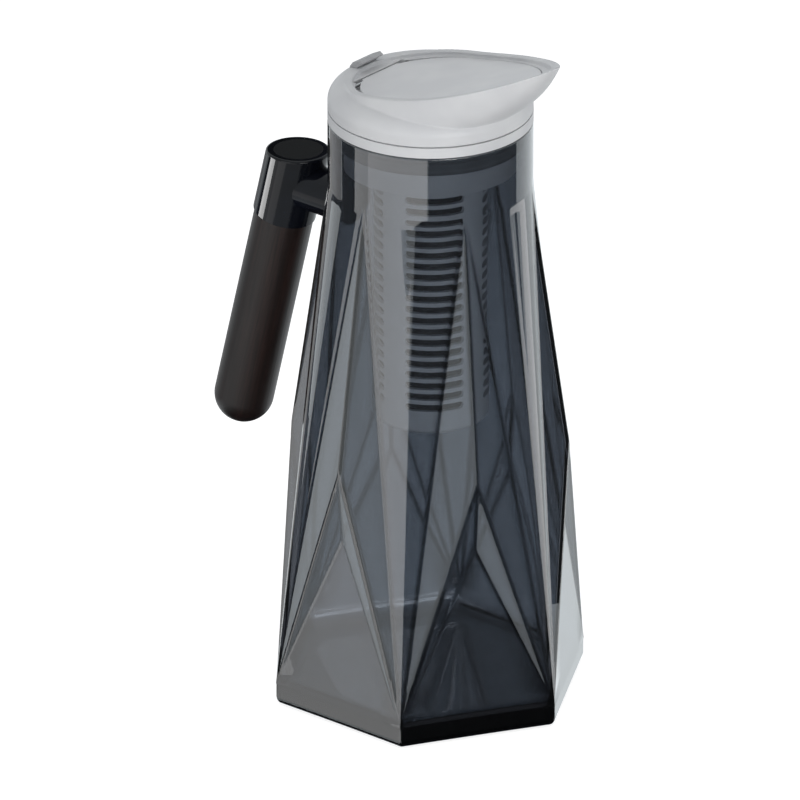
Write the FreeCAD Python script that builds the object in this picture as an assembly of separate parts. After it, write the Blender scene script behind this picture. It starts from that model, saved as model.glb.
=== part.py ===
"""Faceted jug with a wooden grip, a leaf-shaped pouring lid and a strainer that hangs from the lid.

Millimetres. The origin is the centre of the base on the table, +Z is up, the spout points to +X and the handle to -X.
"""
import FreeCAD, Part

import math
import os

from FreeCAD import Vector

# Vessel
SIDES = 6
BASE_CORNER_RADIUS = 72.0
BASE_BAND_HEIGHT = 10.0
BASE_EDGE_FILLET = 4.0
FLOOR_THICKNESS = 7.0
INNER_BAND_HEIGHT = 4.0
WALL = 3.2
RIDGE_APEX_RADIUS = 62.3
RIDGE_APEX_HEIGHT = 121.0
RECESS_DROP = 32.0
RECESS_DEPTH = 3.3
NECK_RADIUS = 45.0
NECK_WALL = 3.5
NECK_START_HEIGHT = 242.0
NECK_LENGTH = 29.4
MOUTH_EDGE_FILLET = 0.8

# Handle: the grip axis leans outwards going down from the top of the holder
HOLDER_TOP_OUT = 31.3
HOLDER_TOP_BELOW_MOUTH = 36.6
HANDLE_TILT = 14.2
HOLDER_RADIUS = 14.0
HOLDER_LENGTH = 32.7
HOLDER_EDGE_FILLET = 1.0
ARM_RADIUS = 10.5
ARM_BELOW_TOP = 16.0
PLUG_RADIUS = 11.0
PLUG_THICKNESS = 2.5
BOLT_WELL_RADIUS = 5.5
BOLT_WELL_DEPTH = 10.0
BOLT_RADIUS = 2.5
BOLT_HOLE_CLEARANCE = 0.3
BOLT_HEAD_RADIUS = 4.4
BOLT_HEAD_HEIGHT = 3.0
BOLT_HEX_RADIUS = 2.0
BOLT_HEX_DEPTH = 1.8
WASHER_RADIUS = 5.0
WASHER_THICKNESS = 1.0
GRIP_RADIUS = 13.25
GRIP_LENGTH = 97.5
TENON_RADIUS = 10.0
TENON_LENGTH = 8.0
INSERT_RADIUS = 4.0
INSERT_LENGTH = 16.0
INSERT_HOLE_SPARE = 3.0

# Lid base, on the mouth of the vessel
LID_SEAT_GAP = 0.2
FLANGE_THICKNESS = 4.7
SKIRT_RADIUS = 38.0
SKIRT_WALL = 2.5
SKIRT_DEPTH = 20.6
SPIGOT_HEIGHT = 3.4
SPIGOT_WALL = 2.5
SPIGOT_CLEARANCE = 0.3
SOCKET_WALL = 2.0
SOCKET_HEIGHT = 13.0
SOCKET_LIP = 3.2
SOCKET_LIP_THICKNESS = 1.5
SOCKET_FLOOR_THICKNESS = 2.5
SEAL_RIB_DEPTH = 1.2
SEAL_RIB_HEIGHT = 1.5
SEAL_HEIGHT = 10.0
SEAL_BODY_THICKNESS = 1.6
SEAL_CLEARANCE = 0.3
SEAL_LIP_HEIGHT = 1.0

# Lid shell
RING_WALL_HEIGHT = 4.2
RING_WALL = 3.2
GROOVE_HEIGHT = 0.5
GROOVE_DEPTH = 1.0
SHOULDER_RUN = 9.0
SHOULDER_RISE = 6.9
LEAF_REAR = 39.0
LEAF_HALF_WIDTH = 34.2
LEAF_STRAIGHT = 12.8
LEAF_TIP = 71.5
LEAF_TIP_RADIUS = 9.0
RIM_REAR_RISE = 10.3
RIM_REAR_SLOPE = 0.069
RIM_CURVE_RADIUS = 318.0
RIM_WIDTH = 3.5
HULL_FOOT_RADIUS = 38.5
HULL_FOOT_RISE = 4.7
HULL_TOP_NARROWING = 2.7
HULL_TOP_STRAIGHT = 22.0
HULL_SIDE_BULGE = 0.8
HULL_PROW_BULGE = 4.5
FOOT_TIP_SWEEP = 42.0
FOOT_FLANK_SWEEP = 2.0
THROAT_FOOT_RADIUS = 34.0
THROAT_FOOT_RISE = 3.4

# Pouring flap
FLAP_RECESS = 2.0
FLAP_THICKNESS = 3.0
FLAP_CLEARANCE = 0.4
FLAP_TIP_SETBACK = 10.5
FLAP_TIP_RADIUS = 6.0
FLAP_REAR_TRIM = 2.0
FLAP_SWING_ROOM = 2.2
FLAP_LEDGE = 2.0
FLAP_SEAT_GAP = 0.3
HINGE_BACK = 28.5
HINGE_ROOM = 0.8
HINGE_END_ROOM = 5.0
PIN_RADIUS = 0.8
PIN_RUNNING_FIT = 0.06
PIN_SEAT = 8.0

# Thumb rest on the rear rim
THUMB_WIDTH = 13.5
THUMB_ROOT_LENGTH = 4.0
THUMB_ROOT_BACK = 2.0
THUMB_SUNK = 1.5
THUMB_KNEE_RUN = 1.8
THUMB_KNEE_RISE = 2.4
THUMB_RISE = 4.8
THUMB_REACH = 4.4
THUMB_END_RISE = 3.6
THUMB_END_LEAN = 2.0

# Strainer, hung from the lid base
CAGE_RADIUS = 25.0
CAGE_WALL = 1.8
CAGE_FLOOR = 2.0
CAGE_LENGTH = 120.0
CAGE_EDGE_FILLET = 3.0
COLLAR_THICKENING = 1.2
COLLAR_CLEARANCE = 0.5
COLLAR_TOP_GAP = 0.4
SLOT_ROWS = 20
SLOT_COLUMNS = 4
SLOT_PITCH = 5.19
SLOT_HEIGHT = 3.3
SLOT_ANGLE = 62.0
SLOT_FIRST_ABOVE_END = 13.0
RING_SECTION_RADIUS = 0.8
RING_BELOW_COLLAR_TOP = 6.0
RING_BORE_CLEARANCE = 0.25
RING_GROOVE_CLEARANCE = 0.05
MESH_THICKNESS = 0.4
MESH_CLEARANCE = 0.2
MESH_LENGTH = 114.0
HOOP_HEIGHT = 3.0
HOOP_THICKNESS = 1.2

# Places worked out from the sizes above
STEP_ANGLE = 360.0 / SIDES
MOUTH_Z = NECK_START_HEIGHT + NECK_LENGTH
MOUTH_BORE_RADIUS = NECK_RADIUS - NECK_WALL
LID_SEAT_Z = MOUTH_Z + LID_SEAT_GAP
LID_SPLIT_Z = LID_SEAT_Z + FLANGE_THICKNESS
SKIRT_END_Z = LID_SEAT_Z - SKIRT_DEPTH
COLLAR_RADIUS = CAGE_RADIUS + COLLAR_THICKENING
SOCKET_BORE_RADIUS = COLLAR_RADIUS + COLLAR_CLEARANCE
SOCKET_LIP_Z = SKIRT_END_Z + SOCKET_HEIGHT
COLLAR_TOP_Z = SOCKET_LIP_Z - COLLAR_TOP_GAP
CAGE_END_Z = SKIRT_END_Z - CAGE_LENGTH
CAGE_BORE_RADIUS = CAGE_RADIUS - CAGE_WALL
CAGE_FLOOR_Z = CAGE_END_Z + CAGE_FLOOR
RIM_REAR_Z = LID_SPLIT_Z + RIM_REAR_RISE
RIM_CENTRE_X = -LEAF_REAR - RIM_CURVE_RADIUS * RIM_REAR_SLOPE / math.hypot(1.0, RIM_REAR_SLOPE)
RIM_CENTRE_Z = RIM_REAR_Z + RIM_CURVE_RADIUS / math.hypot(1.0, RIM_REAR_SLOPE)
FLAP_INSET = RIM_WIDTH + FLAP_CLEARANCE
FLAP_TOP_RADIUS = RIM_CURVE_RADIUS + FLAP_RECESS
FLAP_UNDER_RADIUS = FLAP_TOP_RADIUS + FLAP_THICKNESS
LEAF_WIDEST_X = LEAF_HALF_WIDTH + LEAF_STRAIGHT - LEAF_REAR
HOLDER_TOP = Vector(-NECK_RADIUS - HOLDER_TOP_OUT, 0, MOUTH_Z - HOLDER_TOP_BELOW_MOUTH)
BEYOND = 60.0
UP = Vector(0, 0, 1)
ALONG_Y = Vector(0, 1, 0)


def polar(radius, degrees, z):
    angle = math.radians(degrees)
    return Vector(radius * math.cos(angle), radius * math.sin(angle), z)


def flat_face(*points):
    return Part.Face(Part.makePolygon(list(points) + [points[0]]))


def tube(outer, inner, z_low, z_high):
    """Upright ring between two heights on the vessel's axis."""
    height = z_high - z_low
    body = Part.makeCylinder(outer, height, Vector(0, 0, z_low))
    return body.cut(Part.makeCylinder(inner, height, Vector(0, 0, z_low)))


def turned(points):
    """Solid of revolution about Z from (radius, z) corners."""
    corners = [Vector(radius, 0, z) for radius, z in points]
    return flat_face(*corners).revolve(Vector(0, 0, 0), UP, 360)


def rod_along_y(radius, x, z, half_length):
    return Part.makeCylinder(radius, 2 * half_length, Vector(x, -half_length, z), ALONG_Y)


def edges_at_height(shape, z):
    """Edges that lie wholly at one height."""
    flat = []
    for edge in shape.Edges:
        box = edge.BoundBox
        if abs(box.ZMin - z) < 1e-4 and abs(box.ZMax - z) < 1e-4:
            flat.append(edge)
    return flat


# Vessel

def cone_patch(apex, arc):
    """Part of an oblique cone from a corner of the base to an arc of the neck."""
    shell = Part.makeLoft([Part.Vertex(apex), Part.Wire([arc])], False, True)
    return shell.Faces[0]


def faceted_solid(inset, neck_radius, floor_z, band_z, top_z):
    """Filled body with the vessel's facets, drawn in by inset, with a round neck."""
    corner_radius = BASE_CORNER_RADIUS - inset / math.cos(math.pi / SIDES)
    ridge_radius = RIDGE_APEX_RADIUS - inset
    neck_rise = Vector(0, 0, top_z - NECK_START_HEIGHT)
    faces = []
    foot = []
    mouth = []
    for side in range(SIDES):
        here = side * STEP_ANGLE
        middle = here + STEP_ANGLE / 2
        corner = polar(corner_radius, here, band_z)
        following = polar(corner_radius, here + STEP_ANGLE, band_z)
        corner_foot = polar(corner_radius, here, floor_z)
        following_foot = polar(corner_radius, here + STEP_ANGLE, floor_z)
        ridge = polar(ridge_radius, middle, RIDGE_APEX_HEIGHT)
        recess = polar(ridge_radius - RECESS_DEPTH, middle, RIDGE_APEX_HEIGHT - RECESS_DROP)
        neck_before = polar(neck_radius, here - STEP_ANGLE / 2, NECK_START_HEIGHT)
        neck_here = polar(neck_radius, here, NECK_START_HEIGHT)
        neck_after = polar(neck_radius, middle, NECK_START_HEIGHT)
        arc = Part.Arc(neck_before, neck_here, neck_after).toShape()
        faces.append(flat_face(corner_foot, following_foot, following, corner))
        faces.append(flat_face(corner, following, recess))
        faces.append(flat_face(corner, recess, ridge))
        faces.append(flat_face(following, ridge, recess))
        faces.append(flat_face(corner, ridge, neck_after))
        faces.append(flat_face(following, neck_after, ridge))
        faces.append(cone_patch(corner, arc))
        faces.append(arc.extrude(neck_rise))
        foot.append(corner_foot)
        mouth.append(Part.Arc(neck_before + neck_rise, neck_here + neck_rise, neck_after + neck_rise).toShape())
    faces.append(flat_face(*foot))
    faces.append(Part.Face(Part.Wire(mouth)))
    shell = Part.makeShell(faces)
    shell.sewShape()
    solid = Part.makeSolid(shell)
    if solid.Volume < 0:
        solid.reverse()
    return solid


def vessel_outer():
    body = faceted_solid(0, NECK_RADIUS, 0, BASE_BAND_HEIGHT, MOUTH_Z)
    return body.makeFillet(BASE_EDGE_FILLET, edges_at_height(body, 0))


def jug_vessel(outer):
    inner_band_z = FLOOR_THICKNESS + INNER_BAND_HEIGHT
    cavity = faceted_solid(WALL, MOUTH_BORE_RADIUS, FLOOR_THICKNESS, inner_band_z, MOUTH_Z + BEYOND)
    vessel = outer.cut(cavity)
    return vessel.makeFillet(MOUTH_EDGE_FILLET, edges_at_height(vessel, MOUTH_Z))


# Handle, drawn along Z below the origin and then leant into place

def leant(shape):
    shape.rotate(Vector(0, 0, 0), ALONG_Y, HANDLE_TILT)
    shape.translate(HOLDER_TOP)
    return shape


def down_rod(radius, start, end):
    """Cylinder on the grip axis between two distances below the top of the holder."""
    return Part.makeCylinder(radius, end - start, Vector(0, 0, -end))


def handle_holder(outer):
    cap = leant(down_rod(HOLDER_RADIUS, -HOLDER_RADIUS, HOLDER_LENGTH))
    above = Part.makeBox(BEYOND, BEYOND, BEYOND, HOLDER_TOP - Vector(BEYOND / 2, BEYOND / 2, 0))
    arm_z = HOLDER_TOP.z - ARM_BELOW_TOP
    arm_start = HOLDER_TOP.x - ARM_BELOW_TOP * math.tan(math.radians(HANDLE_TILT))
    arm = Part.makeCylinder(ARM_RADIUS, -arm_start, Vector(arm_start, 0, arm_z), Vector(1, 0, 0))
    cap = cap.cut(above)
    cap = cap.makeFillet(HOLDER_EDGE_FILLET, edges_at_height(cap, HOLDER_TOP.z))
    holder = cap.fuse(arm.cut(outer)).removeSplitter()
    socket = leant(down_rod(TENON_RADIUS, HOLDER_LENGTH - TENON_LENGTH, HOLDER_LENGTH))
    well = leant(down_rod(BOLT_WELL_RADIUS, -BOLT_WELL_RADIUS, BOLT_WELL_DEPTH))
    hole = leant(down_rod(BOLT_RADIUS + BOLT_HOLE_CLEARANCE, 0, HOLDER_LENGTH))
    return holder.cut([socket, well, hole, holder_top_plug()])


def holder_top_plug():
    return Part.makeCylinder(PLUG_RADIUS, PLUG_THICKNESS, HOLDER_TOP - Vector(0, 0, PLUG_THICKNESS))


def insert_end():
    return HOLDER_LENGTH - TENON_LENGTH + INSERT_LENGTH


def grip_bolt():
    head_end = BOLT_WELL_DEPTH - WASHER_THICKNESS
    head = down_rod(BOLT_HEAD_RADIUS, head_end - BOLT_HEAD_HEIGHT, head_end)
    shank = down_rod(BOLT_RADIUS, head_end, insert_end())
    corners = [polar(BOLT_HEX_RADIUS, 60 * k, BOLT_HEAD_HEIGHT - head_end) for k in range(6)]
    key = flat_face(*corners).extrude(Vector(0, 0, -BOLT_HEX_DEPTH))
    return leant(head.fuse(shank).cut(key))


def bolt_washer():
    washer = down_rod(WASHER_RADIUS, BOLT_WELL_DEPTH - WASHER_THICKNESS, BOLT_WELL_DEPTH)
    return leant(washer.cut(down_rod(BOLT_RADIUS + BOLT_HOLE_CLEARANCE, 0, BOLT_WELL_DEPTH)))


def grip_insert():
    sleeve = down_rod(INSERT_RADIUS, HOLDER_LENGTH - TENON_LENGTH, insert_end())
    return leant(sleeve.cut(down_rod(BOLT_RADIUS, 0, insert_end())))


def wood_grip():
    end = HOLDER_LENGTH + GRIP_LENGTH
    body = down_rod(GRIP_RADIUS, HOLDER_LENGTH, end)
    round_end = Part.makeSphere(GRIP_RADIUS, Vector(0, 0, -end))
    tenon = down_rod(TENON_RADIUS, HOLDER_LENGTH - TENON_LENGTH, HOLDER_LENGTH)
    hole = down_rod(INSERT_RADIUS, 0, insert_end() + INSERT_HOLE_SPARE)
    return leant(body.fuse([round_end, tenon]).removeSplitter().cut(hole))


# Lid base and seal

def lid_base():
    skirt_bore = SKIRT_RADIUS - SKIRT_WALL
    socket_outer = SOCKET_BORE_RADIUS + SOCKET_WALL
    spigot_outer = NECK_RADIUS - RING_WALL - SPIGOT_CLEARANCE
    rib_top = LID_SEAT_Z - SEAL_HEIGHT
    rings = [
        tube(SKIRT_RADIUS, skirt_bore, SKIRT_END_Z, LID_SPLIT_Z),
        tube(SKIRT_RADIUS + SEAL_RIB_DEPTH, skirt_bore, rib_top - SEAL_RIB_HEIGHT, rib_top),
        tube(spigot_outer, spigot_outer - SPIGOT_WALL, LID_SEAT_Z, LID_SPLIT_Z + SPIGOT_HEIGHT),
        tube(SKIRT_RADIUS, SOCKET_BORE_RADIUS, SKIRT_END_Z, SKIRT_END_Z + SOCKET_FLOOR_THICKNESS),
        tube(socket_outer, SOCKET_BORE_RADIUS, SKIRT_END_Z, SOCKET_LIP_Z),
        tube(socket_outer, SOCKET_BORE_RADIUS - SOCKET_LIP, SOCKET_LIP_Z, SOCKET_LIP_Z + SOCKET_LIP_THICKNESS),
    ]
    flange = tube(NECK_RADIUS, skirt_bore, LID_SEAT_Z, LID_SPLIT_Z)
    return flange.fuse(rings).removeSplitter()


def lid_seal():
    """Silicone ring with two lips that bear on the bore of the mouth."""
    low = LID_SEAT_Z - SEAL_HEIGHT
    body = SKIRT_RADIUS + SEAL_BODY_THICKNESS
    lip = MOUTH_BORE_RADIUS - SEAL_CLEARANCE
    step = SEAL_HEIGHT / 4
    points = [(SKIRT_RADIUS, low), (body, low)]
    for centre in (low + step, low + 3 * step):
        points.append((lip, centre - SEAL_LIP_HEIGHT / 2))
        points.append((lip, centre + SEAL_LIP_HEIGHT / 2))
        points.append((body, centre + step))
    points.append((SKIRT_RADIUS, low + SEAL_HEIGHT))
    return turned(points)


# Lid shell and flap

def leaf_wire(rear, half_width, straight, tip, tip_radius):
    """Closed outline at z = 0, mirrored about X: round rear, straight flanks, side arcs and a round tip."""
    rear_centre = half_width - rear
    flank_end = rear_centre + straight
    tip_centre = tip - tip_radius
    run = tip_centre - flank_end
    side_radius = (run ** 2 + half_width ** 2 - tip_radius ** 2) / (2 * (half_width - tip_radius))
    sweep_end = math.atan2(side_radius - half_width, run)
    side_middle = (sweep_end + math.pi / 2) / 2

    def on_side(angle):
        return Vector(
            flank_end + side_radius * math.cos(angle),
            half_width - side_radius + side_radius * math.sin(angle),
            0,
        )

    def across(point):
        return Vector(point.x, -point.y, point.z)

    rear_left = Vector(rear_centre, half_width, 0)
    flank_left = Vector(flank_end, half_width, 0)
    middle_left = on_side(side_middle)
    tip_left = on_side(sweep_end)
    edges = [
        Part.Arc(rear_left, Vector(-rear, 0, 0), across(rear_left)),
        Part.LineSegment(across(rear_left), across(flank_left)),
        Part.Arc(across(flank_left), across(middle_left), across(tip_left)),
        Part.Arc(across(tip_left), Vector(tip, 0, 0), tip_left),
        Part.Arc(tip_left, middle_left, flank_left),
        Part.LineSegment(flank_left, rear_left),
    ]
    return Part.Wire([edge.toShape() for edge in edges])


def foot_wire(radius, z):
    """Circle in six arcs that answer to the edges of leaf_wire."""
    flank = FOOT_FLANK_SWEEP
    tip = FOOT_TIP_SWEEP
    stops = (90 + flank, 270 - flank, 270 + flank, 360 - tip, 360 + tip, 450 - flank, 450 + flank)
    edges = []
    for start, end in zip(stops, stops[1:]):
        points = [polar(radius, angle, z) for angle in (start, (start + end) / 2, end)]
        edges.append(Part.Arc(*points).toShape())
    return Part.Wire(edges)


def sloped(wire, x_low, z_low, x_high, z_high):
    """Lifts a flat outline into the plane through two heights on the X axis, with its plan unchanged."""
    slope = (z_high - z_low) / (x_high - x_low)
    shear = FreeCAD.Matrix()
    shear.A31 = slope
    shear.A34 = z_low - slope * x_low
    return wire.transformGeometry(shear)


def rim_z(x, radius=RIM_CURVE_RADIUS):
    """Height of the rim, or of a surface parallel to it, above a place on the X axis."""
    return RIM_CENTRE_Z - math.sqrt(radius ** 2 - (x - RIM_CENTRE_X) ** 2)


def rim_rod(radius):
    """Everything above the rim's curve, or above a surface parallel to it."""
    return rod_along_y(radius, RIM_CENTRE_X, RIM_CENTRE_Z, NECK_RADIUS + BEYOND)


def mean(first, second):
    return (first + second) / 2


def hull(inset):
    """Boat shape from its round foot inside the shoulder, through a bulged middle, to the leaf-shaped top."""
    foot_radius = HULL_FOOT_RADIUS - inset
    foot_z = LID_SPLIT_Z + HULL_FOOT_RISE
    rear = LEAF_REAR - inset
    half_width = LEAF_HALF_WIDTH - HULL_TOP_NARROWING - inset
    tip = LEAF_TIP - inset
    tip_radius = LEAF_TIP_RADIUS - inset
    tip_z = rim_z(LEAF_TIP)
    middle_tip = mean(foot_radius, tip) + HULL_PROW_BULGE
    middle = leaf_wire(
        mean(foot_radius, rear), mean(foot_radius, half_width) + HULL_SIDE_BULGE,
        HULL_TOP_STRAIGHT / 2, middle_tip, mean(foot_radius, tip_radius),
    )
    middle = sloped(middle, -LEAF_REAR, mean(foot_z, RIM_REAR_Z), middle_tip + inset, mean(foot_z, tip_z))
    top = leaf_wire(rear, half_width, HULL_TOP_STRAIGHT, tip, tip_radius)
    top = sloped(top, -LEAF_REAR, RIM_REAR_Z, LEAF_TIP, tip_z)
    return Part.makeLoft([foot_wire(foot_radius, foot_z), middle, top], True, False)


def flap_rear(inset, swing_room):
    """Distance of the outline's rear behind the vessel's axis."""
    return LEAF_REAR - FLAP_REAR_TRIM - inset - swing_room


def flap_outline(inset, swing_room=0.0):
    straight = LEAF_STRAIGHT - FLAP_REAR_TRIM - swing_room
    tip = LEAF_TIP - FLAP_TIP_SETBACK - inset + FLAP_INSET
    tip_radius = FLAP_TIP_RADIUS - inset + FLAP_INSET
    return leaf_wire(flap_rear(inset, swing_room), LEAF_HALF_WIDTH - inset, straight, tip, tip_radius)


def flap_column(outline):
    """Upright prism of the flap's outline, in front of the hinge."""
    column = Part.Face(outline).extrude(Vector(0, 0, rim_z(LEAF_TIP) + BEYOND))
    size = 4 * BEYOND
    front = Part.makeBox(size, size, 2 * size, Vector(-HINGE_BACK, -size / 2, 0))
    return column.common(front)


def hinge_z():
    return rim_z(-HINGE_BACK, FLAP_TOP_RADIUS + FLAP_THICKNESS / 2)


def hinge_half_width():
    """Half the width of the flap at its hinge."""
    radius = LEAF_HALF_WIDTH - FLAP_INSET
    centre = radius - flap_rear(FLAP_INSET, FLAP_SWING_ROOM)
    return math.sqrt(radius ** 2 - (HINGE_BACK + centre) ** 2)


def thumb_rest():
    """Tongue that rises forwards from its root, sunk in the rear rim."""
    root_rear = -LEAF_REAR - THUMB_ROOT_BACK
    root_front = root_rear + THUMB_ROOT_LENGTH
    end = root_front + THUMB_REACH
    side = -THUMB_WIDTH / 2
    corners = [
        Vector(root_rear, side, RIM_REAR_Z - THUMB_SUNK),
        Vector(root_front, side, RIM_REAR_Z - THUMB_SUNK),
        Vector(root_front, side, RIM_REAR_Z),
        Vector(end, side, RIM_REAR_Z + THUMB_END_RISE),
        Vector(end - THUMB_END_LEAN, side, RIM_REAR_Z + THUMB_RISE),
        Vector(root_rear + THUMB_KNEE_RUN, side, RIM_REAR_Z + THUMB_KNEE_RISE),
        Vector(root_rear, side, RIM_REAR_Z),
    ]
    return flat_face(*corners).extrude(Vector(0, THUMB_WIDTH, 0))


def shell_throat():
    """Passage from the lid base up to the underside of the flap."""
    ledge_inset = FLAP_INSET + FLAP_LEDGE
    foot = foot_wire(THROAT_FOOT_RADIUS, LID_SPLIT_Z + THROAT_FOOT_RISE)
    tip = LEAF_TIP - FLAP_TIP_SETBACK - FLAP_LEDGE
    top = sloped(
        flap_outline(ledge_inset),
        -HINGE_BACK, rim_z(-HINGE_BACK, FLAP_UNDER_RADIUS),
        tip, rim_z(tip, FLAP_UNDER_RADIUS),
    )
    throat = Part.makeLoft([foot, top], True, True)
    size = 4 * BEYOND
    front = Part.makeBox(size, size, 2 * size, Vector(2 * FLAP_LEDGE - HINGE_BACK, -size / 2, 0))
    entry = Part.makeCylinder(THROAT_FOOT_RADIUS, THROAT_FOOT_RISE, Vector(0, 0, LID_SPLIT_Z))
    return throat.common(front).fuse(entry)


def lid_shell():
    wall_top = LID_SPLIT_Z + RING_WALL_HEIGHT
    crown = wall_top + SHOULDER_RISE
    inner = NECK_RADIUS - SHOULDER_RUN
    groove = NECK_RADIUS - GROOVE_DEPTH
    groove_top = LID_SPLIT_Z + GROOVE_HEIGHT
    wall_end = Vector(NECK_RADIUS, 0, wall_top)
    crown_start = Vector(inner, 0, crown)
    straight = Part.makePolygon([
        crown_start, Vector(0, 0, crown), Vector(0, 0, LID_SPLIT_Z),
        Vector(groove, 0, LID_SPLIT_Z), Vector(groove, 0, groove_top), Vector(NECK_RADIUS, 0, groove_top), wall_end,
    ])
    ellipse = Part.Ellipse(wall_end, crown_start, Vector(inner, 0, wall_top))
    shoulder = Part.ArcOfEllipse(ellipse, 0, math.pi / 2).toShape()
    outline = Part.Wire(straight.Edges + [shoulder])
    ring = Part.Face(outline).revolve(Vector(0, 0, 0), UP, 360)
    body = ring.fuse(hull(0)).cut(rim_rod(RIM_CURVE_RADIUS))
    bore = Part.makeCylinder(NECK_RADIUS - RING_WALL, SPIGOT_HEIGHT + SPIGOT_CLEARANCE, Vector(0, 0, LID_SPLIT_Z))
    deck = hull(RIM_WIDTH).common(rim_rod(FLAP_TOP_RADIUS))
    pocket = flap_column(flap_outline(RIM_WIDTH)).common(rim_rod(FLAP_UNDER_RADIUS + FLAP_SEAT_GAP))
    half_width = hinge_half_width()
    barrel = rod_along_y(FLAP_THICKNESS / 2 + HINGE_ROOM, -HINGE_BACK, hinge_z(), half_width + HINGE_END_ROOM)
    pin_hole = rod_along_y(PIN_RADIUS, -HINGE_BACK, hinge_z(), half_width + PIN_SEAT)
    return body.cut([bore, deck, pocket, barrel, pin_hole, shell_throat(), thumb_rest()])


def pour_flap():
    column = flap_column(flap_outline(FLAP_INSET, FLAP_SWING_ROOM))
    plate = column.common(rim_rod(FLAP_UNDER_RADIUS)).cut(rim_rod(FLAP_TOP_RADIUS))
    half_width = hinge_half_width()
    barrel = rod_along_y(FLAP_THICKNESS / 2, -HINGE_BACK, hinge_z(), half_width)
    hole = rod_along_y(PIN_RADIUS + PIN_RUNNING_FIT, -HINGE_BACK, hinge_z(), half_width + BEYOND)
    return plate.fuse(barrel).removeSplitter().cut(hole)


def flap_pin():
    half_width = hinge_half_width()
    return rod_along_y(PIN_RADIUS, -HINGE_BACK, hinge_z(), half_width + PIN_SEAT)


# Strainer

def slot(row, column):
    """One round-ended slot through the wall of the cage."""
    z = CAGE_END_Z + SLOT_FIRST_ABOVE_END + row * SLOT_PITCH
    end_radius = SLOT_HEIGHT / 2
    half_angle = SLOT_ANGLE / 2 - math.degrees(end_radius / CAGE_RADIUS)
    middle = (column + 0.5) * 360.0 / SLOT_COLUMNS
    depth = CAGE_RADIUS + CAGE_WALL
    sector = Part.makeCylinder(depth, SLOT_HEIGHT, Vector(0, 0, z - end_radius), UP, 2 * half_angle)
    sector.rotate(Vector(0, 0, 0), UP, middle - half_angle)
    ends = []
    for angle in (middle - half_angle, middle + half_angle):
        ends.append(Part.makeCylinder(end_radius, depth, Vector(0, 0, z), polar(1, angle, 0)))
    return sector.fuse(ends)


def ring_groove_z():
    return COLLAR_TOP_Z - RING_BELOW_COLLAR_TOP


def ring_major_radius():
    return SOCKET_BORE_RADIUS - RING_BORE_CLEARANCE - RING_SECTION_RADIUS


def strainer_cage():
    body = Part.makeCylinder(CAGE_RADIUS, COLLAR_TOP_Z - CAGE_END_Z, Vector(0, 0, CAGE_END_Z))
    body = body.makeFillet(CAGE_EDGE_FILLET, edges_at_height(body, CAGE_END_Z))
    collar_height = COLLAR_TOP_Z - SKIRT_END_Z
    collar = Part.makeCylinder(COLLAR_RADIUS, collar_height, Vector(0, 0, SKIRT_END_Z))
    bore = Part.makeCylinder(CAGE_BORE_RADIUS, COLLAR_TOP_Z - CAGE_FLOOR_Z, Vector(0, 0, CAGE_FLOOR_Z))
    slots = [slot(row, column) for row in range(SLOT_ROWS) for column in range(SLOT_COLUMNS)]
    half_groove = RING_SECTION_RADIUS + RING_GROOVE_CLEARANCE
    groove_floor = ring_major_radius() - half_groove
    groove = tube(COLLAR_RADIUS + 1, groove_floor, ring_groove_z() - half_groove, ring_groove_z() + half_groove)
    core = Part.makeCylinder(CAGE_BORE_RADIUS, CAGE_LENGTH, Vector(0, 0, CAGE_END_Z))
    openings = Part.makeCompound(slots).cut(core)
    return body.fuse(collar).cut([bore, groove, openings])


def strainer_ring():
    return Part.makeTorus(ring_major_radius(), RING_SECTION_RADIUS, Vector(0, 0, ring_groove_z()))


def mesh_radius():
    return CAGE_BORE_RADIUS - MESH_CLEARANCE


def strainer_mesh():
    return tube(mesh_radius(), mesh_radius() - MESH_THICKNESS, CAGE_FLOOR_Z, CAGE_FLOOR_Z + MESH_LENGTH)


def mesh_end_disc():
    radius = mesh_radius() - MESH_THICKNESS - MESH_CLEARANCE
    return Part.makeCylinder(radius, MESH_THICKNESS, Vector(0, 0, CAGE_FLOOR_Z))


def mesh_hoop():
    low = CAGE_FLOOR_Z + MESH_LENGTH
    return tube(mesh_radius(), mesh_radius() - HOOP_THICKNESS, low, low + HOOP_HEIGHT)


def main():
    outer = vessel_outer()
    nodes = {
        "jug_vessel": jug_vessel(outer),
        "handle_holder": handle_holder(outer),
        "holder_top_plug": holder_top_plug(),
        "grip_bolt": grip_bolt(),
        "bolt_washer": bolt_washer(),
        "grip_insert": grip_insert(),
        "wood_grip": wood_grip(),
        "lid_base": lid_base(),
        "lid_seal": lid_seal(),
        "lid_shell": lid_shell(),
        "thumb_rest": thumb_rest(),
        "pour_flap": pour_flap(),
        "flap_pin": flap_pin(),
        "strainer_cage": strainer_cage(),
        "strainer_ring": strainer_ring(),
        "strainer_mesh": strainer_mesh(),
        "mesh_end_disc": mesh_end_disc(),
        "mesh_hoop": mesh_hoop(),
    }
    os.makedirs("parts", exist_ok=True)
    for name, shape in nodes.items():
        shape.exportStep(f"parts/{name}.step")
        box = shape.BoundBox
        print(f"{name}: {len(shape.Solids)} solid, valid {shape.isValid()}, {shape.Volume / 1000:.2f} cm3,"
              f" z {box.ZMin:.1f} to {box.ZMax:.1f}")


main()
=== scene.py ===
# %% [markdown]
# A faceted, smoked drinks jug with a satin grey lid, a wooden grip and a slotted strainer that hangs
# from the lid. The solid parts come from the packed CAD model, which is loaded first as a fixed frame.
# Each step below gives one piece its final surface or its finish. Lengths are metres, and the jug
# stands on the floor with its axis on Z and its spout towards +X.

# %% Load the frame
from math import atan2, cos, exp, pi, radians, sin, sqrt, tan

import bpy
from mathutils import Matrix, Vector


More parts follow.
